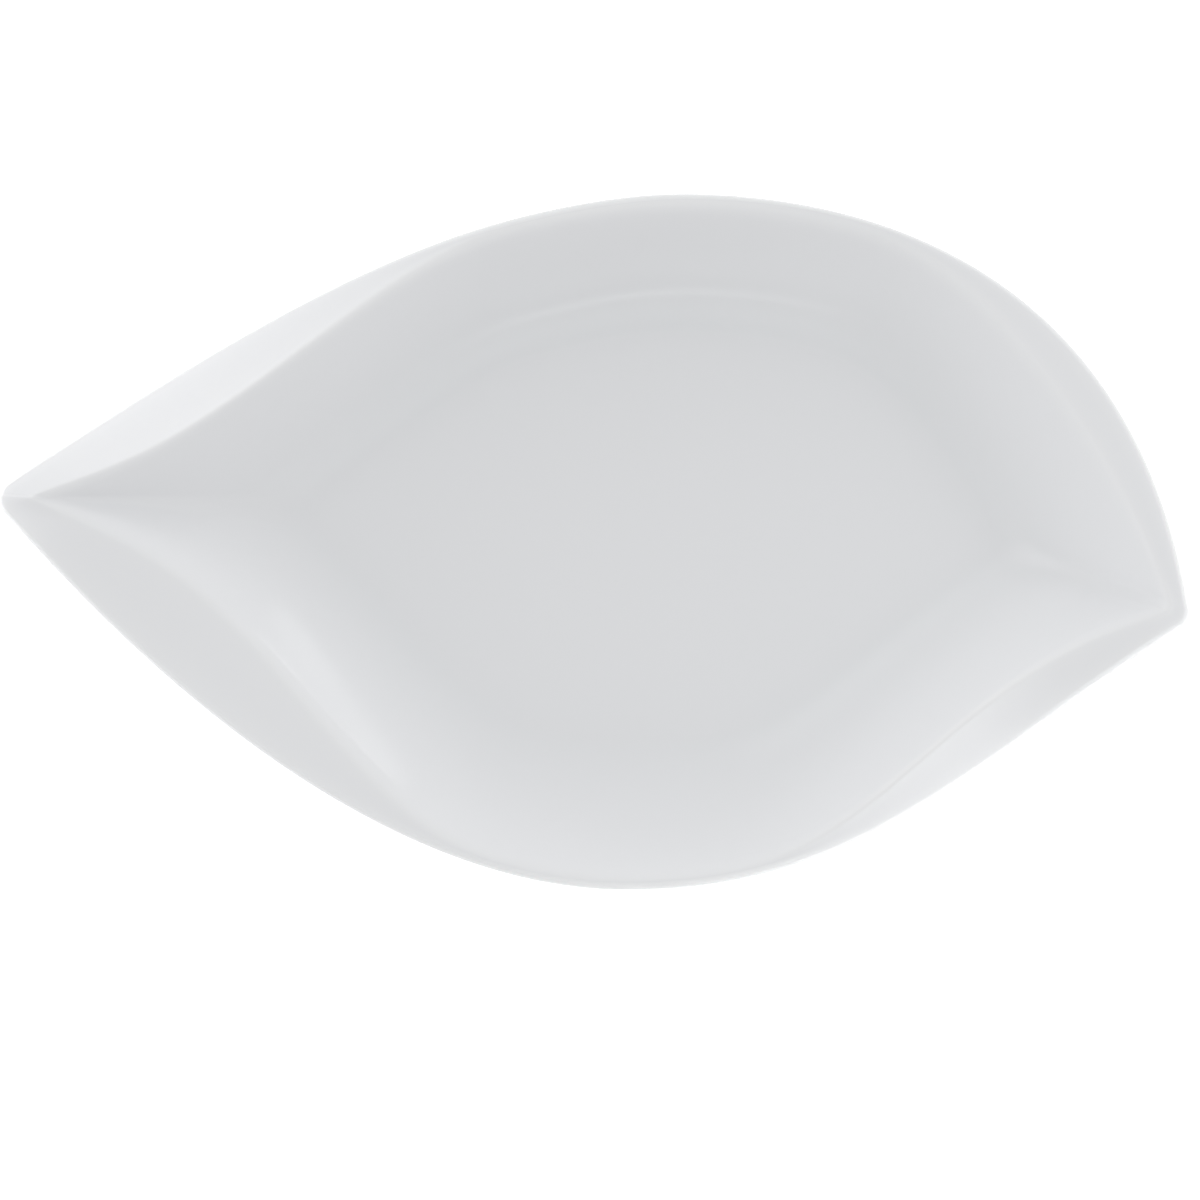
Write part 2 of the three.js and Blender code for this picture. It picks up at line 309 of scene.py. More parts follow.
@dataclass(frozen=True)
class LeafPlan:
    """The plate in plan, between the points where its edges would meet if the tips were not rounded.

    The offsets of the tips are across the plate and those of the bulges along it. What the rim holds is
    averaged along it, over the ease to either side.
    """

    tip_span: float = 362.5
    width: float = 214.0
    left_tip_offset: float = 12.5
    right_tip_offset: float = -26.0
    left_tip_round: float = 7.0
    right_tip_round: float = 3.0
    left_crest_round: float = 3.0
    right_crest_round: float = 2.5
    far_bulge_offset: float = 28.5
    near_bulge_offset: float = 11.5
    left_tip_droop: float = 2.5
    right_tip_droop: float = 1.0
    left_tip_rise: float = 4.0
    right_tip_rise: float = 4.0
    ease: float = 9.0
    tip_crest_round: float = 2.0
    bulge_crest_round: float = 2.5
    near_sweep_gain: float = 0.3
    left_valley_round: float = 10.0
    right_valley_round: float = 7.0
    far_left: RimEdge = RimEdge(
        heading=39, tip_pull=130, bulge_pull=30,
        brim_at_tip=2.5, brim_widest=15.5, widest_at=60, brim_end=172,
        tip_fall=37, end_fall=37, crest_round=1.2, tip_gain=0.0,
    )
    near_left: RimEdge = RimEdge(
        heading=-49, tip_pull=61.5, bulge_pull=77.5,
        brim_at_tip=1, brim_widest=22, widest_at=70, brim_end=186,
        tip_fall=3, end_fall=5, crest_round=2.2, tip_gain=0.35,
    )
    near_right: RimEdge = RimEdge(
        heading=213, tip_pull=90.5, bulge_pull=67,
        brim_at_tip=1.5, brim_widest=10.5, widest_at=48, brim_end=150,
        tip_fall=3, end_fall=31, crest_round=0.9, tip_gain=0.2,
    )
    far_right: RimEdge = RimEdge(
        heading=97, tip_pull=119, bulge_pull=45,
        brim_at_tip=1.5, brim_widest=9.5, widest_at=78, brim_end=165,
        tip_fall=2, end_fall=2, crest_round=2.5, tip_gain=0.1,
    )


@dataclass(frozen=True)
class PlateSection:
    """The plate in section: foot, floor, sloping wall, crest, rolled rim and glaze."""

    foot_height: float = 3.0
    foot_width: float = 5.0
    foot_setback: float = 3.0
    foot_round: float = 0.6
    foot_fillet: float = 1.0
    floor_thickness: float = 5.0
    back_fillet: float = 9.0
    well_depth: float = 22.0
    wall_run: float = 27.0
    sweep_run: float = 35.0
    wall_thickness: float = 4.4
    valley_round: float = 16.0
    rim_land: float = 1.6
    rim_thickness: float = 3.8
    back_round: float = 5.0
    glaze: float = 0.3
    glaze_gap: float = 0.05
    glaze_line: float = 1.4
    glaze_taper: float = 0.5

    @property
    def floor_top(self) -> float:
        """Height of the well's floor above the table."""
        return self.foot_height + self.floor_thickness

    @property
    def rim_radius(self) -> float:
        """Radius of the half-round rim."""
        return self.rim_thickness / 2

    @property
    def wall_drop(self) -> float:
        """Thickness of the sloping wall, measured straight down."""
        return self.wall_thickness * math.hypot(1, self.well_depth / self.wall_run)

    @property
    def foot_outside(self) -> float:
        """How far in from the crest the foot's outer side stands."""
        return self.wall_run + self.back_fillet + self.foot_setback

    @property
    def foot_inside(self) -> float:
        """How far in from the crest the foot's inner side stands."""
        return self.foot_outside + self.foot_width

    def face_height(self, distance: np.ndarray, depth: np.ndarray) -> np.ndarray:
        """Height of the face: it sweeps up like a sprung strip, level on the floor, straight at the crest."""
        share = (1 - distance / self.sweep_run).clip(0)
        return self.floor_top + depth * share**2 * (3 - share) / 2

    def back_height(self, distance: np.ndarray, depth: np.ndarray) -> np.ndarray:
        """Height of the back above the table: a level underside, a fillet and a straight wall.

        Args:
            distance: How far in from the sharp crest.
            depth: How high the crest stands above the floor.

        Returns:
            The height.
        """
        fillet = self.back_fillet
        slope = depth / self.wall_run
        up = self.wall_run - distance
        eased = slope * (up + fillet).clip(0) ** 2 / (4 * fillet)
        rise = np.where(up < fillet, eased, slope * up)
        thickness = lerp(self.floor_thickness, self.wall_drop, smoothstep(up, -fillet, fillet))
        return self.floor_top + rise - thickness


class RimSide:
    """One long side of the rim, from the left tip to the right, and what each share of its length holds.

    The tip fade is the power by which the wall's gain at a tip falls off along the side.
    """

    ease_samples = 11
    tip_fade = 4

    def __init__(
        self, plan: LeafPlan, left: RimEdge, right: RimEdge, bulge: np.ndarray, sweep_gain: float = 0.0
    ) -> None:
        """Joins two edges at their bulge.

        Args:
            plan: The plate's plan.
            left: The edge from the left tip.
            right: The edge from the right tip.
            bulge: Where the two meet, in plan.
            sweep_gain: The share by which the wall sweeps further into the well at the bulge.
        """
        self.plan = plan
        self.left = left
        self.right = right
        self.sweep_gain = sweep_gain
        left_line = left.trace(np.array((-plan.tip_span / 2, plan.left_tip_offset)), bulge)
        right_line = right.trace(np.array((plan.tip_span / 2, plan.right_tip_offset)), bulge)
        self.points = np.vstack((left_line, right_line[-2::-1]))
        self.left_length = stations(left_line)[-1]
        self.length = self.left_length + stations(right_line)[-1]

    def eased(self, from_left: Along, from_right: Along, shares: np.ndarray) -> np.ndarray:
        """What two functions of the distance from their tips give, eased so that the rim has no kinks.

        Args:
            from_left: What the left edge gives at distances from the left tip.
            from_right: What the right edge gives at distances from the right tip.
            shares: Shares of the side, from left to right.

        Returns:
            The eased value at each share.
        """
        samples = []
        for step in np.linspace(-self.plan.ease, self.plan.ease, self.ease_samples):
            distance = shares * self.length + step
            on_left = distance < self.left_length
            samples.append(np.where(on_left, from_left(distance), from_right(self.length - distance)))
        return np.mean(samples, axis=0)

    def brim(self, shares: np.ndarray) -> np.ndarray:
        """How wide the brim is beyond the rolled rim, at shares of the side."""
        return self.eased(self.left.brim_width, self.right.brim_width, shares)

    def fall(self, shares: np.ndarray) -> np.ndarray:
        """How far the rim lies below the crest.

        Args:
            shares: Shares of the side, from left to right.

        Returns:
            A fall for each share.
        """
        from_left = partial(self.left.brim_fall, tip_droop=self.plan.left_tip_droop)
        from_right = partial(self.right.brim_fall, tip_droop=self.plan.right_tip_droop)
        return self.eased(from_left, from_right, shares)

    def rise(self, shares: np.ndarray) -> np.ndarray:
        """How far the crest has swept up towards the tips.

        Args:
            shares: Shares of the side, from left to right.

        Returns:
            A rise for each share.
        """
        bulge = self.left_length / self.length
        to_left = self.plan.left_tip_rise * (1 - shares / bulge).clip(0) ** 2
        to_right = self.plan.right_tip_rise * ((shares - bulge) / (1 - bulge)).clip(0) ** 2
        return to_left + to_right

    def sweep(self, shares: np.ndarray) -> np.ndarray:
        """How many times the section's run the wall sweeps into the well.

        Args:
            shares: Shares of the side, from left to right.

        Returns:
            A factor for each share.
        """
        bulge = np.sin(math.pi * shares) ** 2
        tip_gain = np.where(shares < 0.5, self.left.tip_gain, self.right.tip_gain)
        return 1 + self.sweep_gain * bulge + tip_gain * (1 - bulge) ** self.tip_fade

    def crest_round(self, shares: np.ndarray) -> np.ndarray:
        """How far the rounding of the crest reaches to either side.

        Args:
            shares: Shares of the side, from left to right.

        Returns:
            A reach for each share.
        """
        tip = self.plan.tip_crest_round
        places = (0, self.left.twist_end, self.left_length, self.length - self.right.twist_end, self.length)
        rounds = (tip, self.left.crest_round, self.plan.bulge_crest_round, self.right.crest_round, tip)
        return np.interp(shares * self.length, places, rounds)


class PlateForm:
    """The plate's surfaces as rings of points in millimetres, counter-clockwise from the left tip.

    The steps and shares say how closely the rings and their points lie. The points bunch towards the tips.
    The rounding of a crest takes up a share of its brim, most_of_brim, at the most.
    """

    side_steps = 170
    tip_bunching = 0.8
    floor_shares = (0.15, 0.4, 0.65, 0.9)
    sweep_steps = 32
    crest_steps = 12
    most_of_brim = 0.8
    brim_steps = 7
    roll_steps = 20
    back_brim_shares = (0.33, 0.67)
    back_round_steps = 8
    back_wall_steps = 6
    back_fillet_steps = 16
    foot_fillet_steps = 6
    taper_shares = (1.0, 0.6, 0.3, 0.1, 0.0)
    foot_round_steps = 5
    base_shares = (0.7, 0.4, 0.15)

    def __init__(self, plan: LeafPlan, section: PlateSection) -> None:
        """Traces the outline and the crest.

        Args:
            plan: The plate's plan.
            section: The plate's section.
        """
        self.plan = plan
        self.section = section
        far_bulge = np.array((plan.far_bulge_offset, plan.width / 2))
        near_bulge = np.array((plan.near_bulge_offset, -plan.width / 2))
        self.rim = {
            Side.FAR: RimSide(plan, plan.far_left, plan.far_right, far_bulge),
            Side.NEAR: RimSide(plan, plan.near_left, plan.near_right, near_bulge, plan.near_sweep_gain),
        }
        tips = (plan.left_tip_round, plan.right_tip_round)
        self.outline = Loop(self.rim[Side.FAR].points, self.rim[Side.NEAR].points, *tips)
        roll = section.rim_radius + section.rim_land
        brims = {side: roll + rim.brim(self.outline.shares(side)) for side, rim in self.rim.items()}
        self.crest = self.outline.inset(brims, plan.left_crest_round, plan.right_crest_round)
        even = np.arange(self.side_steps) / self.side_steps
        shares = lerp(even, (1 - np.cos(math.pi * even)) / 2, self.tip_bunching)
        self.places = {Side.NEAR: shares, Side.FAR: 1 - shares}

    def gather(self, loop: Loop) -> np.ndarray:
        """The ring's points on an outline, in plan."""
        return np.vstack([loop.points(side, shares) for side, shares in self.places.items()])

    def around(self, value: Callable[[RimSide, np.ndarray], np.ndarray]) -> np.ndarray:
        """What the two sides of the rim hold, round the ring."""
        return np.concatenate([value(self.rim[side], shares) for side, shares in self.places.items()])

    @cached_property
    def depth(self) -> np.ndarray:
        """Height of the sharp crest above the floor, round the ring."""
        return self.section.well_depth + self.around(RimSide.rise)

    @cached_property
    def fall(self) -> np.ndarray:
        """How far the rim lies below the crest, round the ring."""
        return self.around(RimSide.fall)

    @cached_property
    def crest_round(self) -> np.ndarray:
        """How far the rounding of the crest reaches, round the ring."""
        return self.around(RimSide.crest_round)

    @cached_property
    def crest_plan(self) -> np.ndarray:
        """The crest in plan, round the ring."""
        return self.gather(self.crest)

    @cached_property
    def outward(self) -> np.ndarray:
        """The way from the crest to the outline in plan, round the ring, with its length."""
        return self.gather(self.outline) - self.crest_plan

    def inside(
        self, insets: dict[Side, np.ndarray], distance: float, left_valley: float, right_valley: float
    ) -> np.ndarray:
        """A ring in plan inside the crest.

        Args:
            insets: How far in each point of the crest's sides moves.
            distance: About how far in that is, which says how rounded the valleys at the tips are.
            left_valley: The rounding of the left valley at the foot of the wall.
            right_valley: The rounding of the right valley there.

        Returns:
            The ring in plan.
        """
        valley = min(1.0, distance / self.section.wall_run)
        left_round = lerp(self.plan.left_crest_round, left_valley, valley)
        right_round = lerp(self.plan.right_crest_round, right_valley, valley)
        return self.gather(self.crest.inset(insets, left_round, right_round))

    def face(self, distance: float, rounding: float = 0.0) -> np.ndarray:
        """A ring on the face of the wall.

        Args:
            distance: How far in from the crest it lies where the wall has the section's own run.
            rounding: The share of the crest's own rounding that is added to the distance.

        Returns:
            The ring's points.
        """
        insets = {}
        for side, rim in self.rim.items():
            shares = self.crest.shares(side)
            insets[side] = (distance + rounding * rim.crest_round(shares)) * rim.sweep(shares)
        ring = self.inside(insets, distance, self.plan.left_valley_round, self.plan.right_valley_round)
        height = self.section.face_height(distance + rounding * self.crest_round, self.depth)
        return np.column_stack((ring, height))

    def under(self, distance: float) -> np.ndarray:
        """A ring in plan under the plate, at one distance in from the crest."""
        insets = {side: np.full(len(line), distance) for side, line in self.crest.sides.items()}
        return self.inside(insets, distance, self.section.valley_round, self.section.valley_round)

    def back(self, distance: float) -> np.ndarray:
        """A ring on the back of the wall."""
        ring = self.under(distance)
        return np.column_stack((ring, self.section.back_height(np.full(len(ring), distance), self.depth)))

    def level(self, distance: float, height: float) -> np.ndarray:
        """A ring under the plate, all at one height."""
        ring = self.under(distance)
        return np.column_stack((ring, np.full(len(ring), height)))

    def beyond(self, reach: np.ndarray, height: np.ndarray) -> np.ndarray:
        """A ring outside the crest, from how far beyond it each point lies in plan and how high it is."""
        length = np.linalg.norm(self.outward, axis=1)
        return np.column_stack((self.crest_plan + self.outward * (reach / length)[:, None], height))

    @cached_property
    def roll_run(self) -> np.ndarray:
        """How far beyond the crest the middle of the round of the rim lies in plan, round the ring."""
        return np.linalg.norm(self.outward, axis=1) - self.section.rim_radius

    @cached_property
    def brim_slope(self) -> np.ndarray:
        """The angle by which the brim falls from the crest to where it runs into the round of the rim.

        Returns:
            The angle in radians, round the ring.
        """
        radius = self.section.rim_radius
        drop = self.fall + radius
        return np.arctan2(drop, self.roll_run) - np.arcsin(radius / np.hypot(self.roll_run, drop))

    def roll(self, angle: float) -> np.ndarray:
        """A ring on the round of the rim.

        Args:
            angle: Degrees round the rim, from the line where the brim runs into it.

        Returns:
            The ring's points.
        """
        radius = self.section.rim_radius
        turn = np.radians(angle) + self.brim_slope
        middle = self.section.floor_top + self.depth - self.fall - radius
        return self.beyond(self.roll_run + radius * np.sin(turn), middle + radius * np.cos(turn))

    def on_brim(self, apex: np.ndarray, edge: np.ndarray, rounding: Any) -> np.ndarray:
        """The ring where the rounding of a crest ends on its brim.

        Args:
            apex: The sharp crest.
            edge: Where the brim runs into the round of the rim.
            rounding: How far the rounding reaches in plan.

        Returns:
            The ring's points.
        """
        brim_length = np.linalg.norm((edge - apex)[:, :2], axis=1)
        reach = np.minimum(rounding / brim_length, self.most_of_brim)
        return lerp(apex, edge, reach[:, None])

    def face_rings(self) -> list[np.ndarray]:
        """The face, from the middle of the floor to the round of the rim.

        Returns:
            Its rings in that order, without the middle point.
        """
        sweep_run = self.section.sweep_run
        floor = self.face(sweep_run)
        rings = [lerp(floor.mean(axis=0), floor, share) for share in self.floor_shares]
        rings += [self.face(lerp(sweep_run, 0.0, share), share**2) for share in even_shares(self.sweep_steps)]
        apex = self.beyond(np.zeros(len(self.depth)), self.section.floor_top + self.depth)
        edge = self.roll(0)
        start = self.face(0.0, 1.0)
        end = self.on_brim(apex, edge, self.crest_round)
        rings += [quadratic(start, apex, end, share) for share in even_shares(self.crest_steps)[1:]]
        rings += [lerp(end, edge, share) for share in even_shares(self.brim_steps)[1:-1]]
        rings += [self.roll(180 * share) for share in even_shares(self.roll_steps)]
        return rings

    def back_rings(self) -> list[np.ndarray]:
        """The outside, from the round of the rim to where the underside is level.

        Returns:
            Its rings in that order.
        """
        section = self.section
        edge = self.roll(180)
        apex = self.back(0.0)
        start = self.on_brim(apex, edge, section.back_round)
        end = self.back(section.back_round)
        rings = [lerp(edge, start, share) for share in self.back_brim_shares]
        rings += [quadratic(start, apex, end, share) for share in even_shares(self.back_round_steps)]
        fillet_top = section.wall_run - section.back_fillet
        fillet_foot = section.wall_run + section.back_fillet
        wall = lerp(section.back_round, fillet_top, even_shares(self.back_wall_steps))
        fillet = lerp(fillet_top, fillet_foot, even_shares(self.back_fillet_steps))
        return rings + [self.back(distance) for distance in (*wall[1:], *fillet[1:])]

    def foot_side(self, outer: bool) -> list[np.ndarray]:
        """A side of the foot from the level underside down to the glaze line.

        Args:
            outer: Whether it is the outer side.

        Returns:
            Its rings from the top down, closest together where the glaze tapers off.
        """
        section = self.section
        away = -1 if outer else 1
        wall = section.foot_outside if outer else section.foot_inside
        fillet = section.foot_fillet
        rings = []
        for turn in math.pi / 2 * even_shares(self.foot_fillet_steps):
            height = section.foot_height - fillet * (1 - math.cos(turn))
            rings.append(self.level(wall + away * fillet * (1 - math.sin(turn)), height))
        taper = [section.glaze_line + share * section.glaze_taper for share in self.taper_shares]
        return rings + [self.level(wall, height) for height in taper]

    def bare_foot(self) -> list[np.ndarray]:
        """The unglazed part of the foot.

        Returns:
            Its rings from the outer side, under the bearing face, to the inner side.
        """
        section = self.section
        turns = math.pi / 2 * even_shares(self.foot_round_steps)
        inwards = section.foot_round * (1 - np.cos(turns))
        heights = section.foot_round * (1 - np.sin(turns))
        outer = zip(section.foot_outside + inwards, heights)
        inner = zip(section.foot_inside - inwards[::-1], heights[::-1])
        return [self.level(distance, height) for distance, height in (*outer, *inner)]

    def base_rings(self) -> list[np.ndarray]:
        """The level underside inside the foot, without its middle point."""
        edge = self.level(self.section.foot_inside + self.section.foot_fillet, self.section.foot_height)
        return [lerp(edge.mean(axis=0), edge, share) for share in self.base_shares]


def add_object(name: str, data: bpy.types.ID) -> bpy.types.Object:
    """Makes an object and puts it in the scene.

    Args:
        name: The object's name.
        data: Its mesh, lamp or camera.

    Returns:
        The new object.
    """
    added = bpy.data.objects.new(name, data)
    bpy.context.scene.collection.objects.link(added)
    return added


@dataclass
class RingMesh:
    """A mesh in the making: points in millimetres and faces between rings of points."""

    ring_size: int

    def __post_init__(self) -> None:
        """Starts with no points and no faces."""
        self.points: list[np.ndarray] = []
        self.faces: list[tuple[int, ...]] = []
        self.count = 0

    def add(self, points: np.ndarray) -> int:
        """Adds points.

        Args:
            points: The points, one a row.

        Returns:
            The number of the first.
        """
        start = self.count
        self.points.append(points)
        self.count += len(points)
        return start

    def band(self, start: int, next_start: int) -> None:
        """Fills the band between two rings.

        Args:
            start: The number of the first ring's first point.
            next_start: The same for the second ring.
        """
        for i in range(self.ring_size):
            k = (i + 1) % self.ring_size
            self.faces.append((start + i, next_start + i, next_start + k, start + k))

    def bands(self, starts: list[int]) -> None:
        """Fills the bands between rings that start at those numbers, each with the next."""
        for start, next_start in zip(starts, starts[1:]):
            self.band(start, next_start)

    def cap(self, ring: np.ndarray, start: int, outwards: bool) -> None:
        """Fills a ring with a fan from its middle.

        Args:
            ring: The ring's points.
            start: The number of its first point.
            outwards: Whether the bands run outwards from the ring, which sets the way the fan faces.
        """
        middle = self.add(ring.mean(axis=0, keepdims=True))
        for i in range(self.ring_size):
            k = (i + 1) % self.ring_size
            pair = (start + i, start + k) if outwards else (start + k, start + i)
            self.faces.append((middle, *pair))

    def make(self, name: str) -> bpy.types.Object:
        """Makes the object, shaded smooth.

        Args:
            name: The piece's name.

        Returns:
            The new object, in the scene.
        """
        mesh = bpy.data.meshes.new(name)
        mesh.from_pydata(np.vstack(self.points) * MM, [], self.faces)
        mesh.validate()
        mesh.shade_smooth()
        return add_object(name, mesh)


def hex_colour(code: str) -> tuple[float, float, float, float]:
    """Turns an sRGB hex colour to linear.

    Args:
        code: The colour, such as "f0f1f2".

    Returns:
        Red, green, blue and alpha.
    """
    shares = [int(code[i : i + 2], 16) / 255 for i in (0, 2, 4)]
    linear = [s / 12.92 if s <= 0.04045 else ((s + 0.055) / 1.055) ** 2.4 for s in shares]
    return (*linear, 1.0)


def empty_tree(owner: bpy.types.Material | bpy.types.World | bpy.types.Light) -> bpy.types.NodeTree:
    """Clears the node tree of a material, a world or a lamp.

    Args:
        owner: What the tree belongs to.

    Returns:
        The tree, with nothing in it.
    """
    owner.use_nodes = True
    owner.node_tree.nodes.clear()
    return owner.node_tree


def add_node(
    tree: bpy.types.NodeTree, kind: str, settings: dict[str, Any] | None = None, **links: Any
) -> bpy.types.Node:
    """Adds a node with its settings and links.

    Args:
        tree: The node tree.
        kind: The node's type, without the ShaderNode in front.
        settings: Its properties by name.
        links: For each input, by its name or identifier with _ for a space, an output socket or a value.

    Returns:
        The new node.
    """
    node = tree.nodes.new("ShaderNode" + kind)
    for name, value in (settings or {}).items():
        setattr(node, name, value)
    by_name = {socket.name.replace(" ", "_"): socket for socket in reversed(node.inputs)}
    by_identifier = {socket.identifier.replace(" ", "_"): socket for socket in node.inputs}
    sockets = by_name | by_identifier
    for name, value in links.items():
        if isinstance(value, bpy.types.NodeSocket):
            tree.links.new(value, sockets[name])
        else:
            sockets[name].default_value = value
    return node


@dataclass(frozen=True)
class GlazedPorcelain:
    """Hard porcelain under clear feldspar glaze, dipped and fired to a high gloss.

    The eye sees a cool, even white with a clear soft reflection. Painted shade makes it a touch darker in the
    hollow fillet of the well, and a painted highlight makes it paler over the crest and the rim.
    """

    name: str = "glazed_hard_porcelain"
    white: str = "e4e5e7"
    # Painted shade for the hollow fillet, and a painted highlight for the crest and the rim.
    painted_shade: str = "e0e2e4"
    painted_highlight: str = "eaebec"
    index: float = 1.5
    roughness: float = 0.09
    roughness_spread: float = 0.02
    ripple_size: float = 14.0
    ripple_height: float = 0.004
    cloud_size: float = 45.0

    def build(self) -> bpy.types.Material:
        """Makes the material, whose painted shade and painted highlight follow a mask that the mesh holds.

        Returns:
            The material.
        """
        material = bpy.data.materials.new(self.name)
        node = partial(add_node, empty_tree(material))
        place = node("NewGeometry").outputs["Position"]
        # The mask: up to 1 for painted shade in hollows, down to -1 for a painted highlight on edges.
        depth = node("Attribute", {"attribute_name": GlazeCoat.painted_light_name}).outputs["Fac"]
        colour = hex_colour(self.white)
        # Darkens the white towards the painted shade and lightens it towards the painted highlight.
        for tint, fullest in ((self.painted_shade, 1.0), (self.painted_highlight, -1.0)):
            share = node("MapRange", Value=depth, From_Max=fullest).outputs["Result"]
            mixed = node(
                "Mix", {"data_type": "RGBA"}, Factor_Float=share, A_Color=colour, B_Color=hex_colour(tint)
            )
            colour = mixed.outputs[MIXED_COLOUR]
        clouds = node("TexNoise", Vector=place, Scale=1 / (self.cloud_size * MM), Detail=2.0).outputs["Fac"]
        roughness = node(
            "MapRange",
            Value=clouds,
            To_Min=self.roughness - self.roughness_spread,
            To_Max=self.roughness + self.roughness_spread,
        ).outputs["Result"]
        ripples = node("TexNoise", Vector=place, Scale=1 / (self.ripple_size * MM), Detail=1.0).outputs["Fac"]
        bump = node("Bump", Height=ripples, Distance=self.ripple_height * MM).outputs["Normal"]
        shader = node("BsdfPrincipled", Base_Color=colour, Roughness=roughness, IOR=self.index, Normal=bump)
        node("OutputMaterial", Surface=shader.outputs[0])
        return material


@dataclass(frozen=True)
class GroundBiscuit:
    """Bare fired porcelain, wiped clean of glaze and ground flat on a wheel.

    The eye sees a warm dull white with a fine grit, greyed in faint patches where it has stood on tables. The
    grit is drawn coarser than real, so that it shows.
    """

    name: str = "ground_porcelain_biscuit"
    white: str = "e6e1d8"
    worn: str = "cfcbc4"
    index: float = 1.5
    roughness: float = 0.8
    grit_size: float = 0.35
    grit_height: float = 0.03
    wear_size: float = 9.0
    wear_from: float = 0.5
    wear_to: float = 0.7

    def build(self) -> bpy.types.Material:
        """Makes the material.

        Returns:
            The material.
        """
        material = bpy.data.materials.new(self.name)
        node = partial(add_node, empty_tree(material))
        place = node("NewGeometry").outputs["Position"]
        grit = node("TexNoise", Vector=place, Scale=1 / (self.grit_size * MM), Detail=3.0).outputs["Fac"]
        wear = node("TexNoise", Vector=place, Scale=1 / (self.wear_size * MM), Detail=4.0).outputs["Fac"]
        patches = node("MapRange", Value=wear, From_Min=self.wear_from, From_Max=self.wear_to)
        colour = node(
            "Mix",
            {"data_type": "RGBA"},
            Factor_Float=patches.outputs["Result"],
            A_Color=hex_colour(self.white),
            B_Color=hex_colour(self.worn),
        ).outputs[MIXED_COLOUR]
        bump = node("Bump", Height=grit, Distance=self.grit_height * MM).outputs["Normal"]
        shader = node(
            "BsdfPrincipled", Base_Color=colour, Roughness=self.roughness, IOR=self.index, Normal=bump
        )
        node("OutputMaterial", Surface=shader.outputs[0])
        return material


@dataclass
class PorcelainBody:
    """The fired body of the plate with its foot ring, closed all round."""

    form: PlateForm
    name: str = "plate_body"
    node: str = "porcelain_body"
    slot: str = "biscuit"

    def build(self) -> bpy.types.Object:
        """Builds the body, places it in the frame and keeps its rings and normals for the glaze.

        Returns:
            The body.
        """
        form = self.form
        face = form.face_rings() + form.back_rings() + form.foot_side(outer=True)
        bare = form.bare_foot()
        base = form.foot_side(outer=False)[::-1] + form.base_rings()
        self.bare_start = len(face)
        self.bare_end = len(face) + len(bare)
        rings = face + bare + base
        solid = RingMesh(len(rings[0]))
        starts = [solid.add(ring) for ring in rings]
        solid.bands(starts)
        solid.cap(rings[0], starts[0], outwards=True)
        solid.cap(rings[-1], starts[-1], outwards=False)
        self.piece = solid.make(self.name)
        self.settle()
        mesh = self.piece.data
        self.rings = self.ringed(mesh.vertices, "co") / MM
        self.normals = self.ringed(mesh.vertex_normals, "vector")
        return self.piece

    def settle(self) -> None:
        """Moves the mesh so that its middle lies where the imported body's middle lies."""
        low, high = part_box(self.node)
        points = np.empty(3 * len(self.piece.data.vertices))
        self.piece.data.vertices.foreach_get("co", points)
        points = points.reshape(-1, 3)
        own_middle = (points.min(axis=0) + points.max(axis=0)) / 2
        points[:, :2] += np.array((low + high) / 2)[:2] - own_middle[:2]
        self.piece.data.vertices.foreach_set("co", points.ravel())
        self.piece.data.update()

    def ringed(self, rows: bpy.types.bpy_prop_collection, value: str) -> np.ndarray:
        """What the mesh holds for its points, ring by ring, without the two middle points.

        Args:
            rows: The mesh's points or normals.
            value: The name of what each of them holds.

        Returns:
            An array by ring, point and axis.
        """
        found = np.empty(3 * len(rows))
        rows.foreach_get(value, found)
        return found.reshape(-1, 3)[:-2].reshape(-1, 2 * PlateForm.side_steps, 3)

    def dress(self, finish: GroundBiscuit) -> None:
        """Gives the body its finish and its place in the frame.

        Args:
            finish: The finish that shows on the bare foot ring.
        """
        self.piece.data.materials.append(finish.build())
        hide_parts(self.node)
        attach(self.piece, "root")


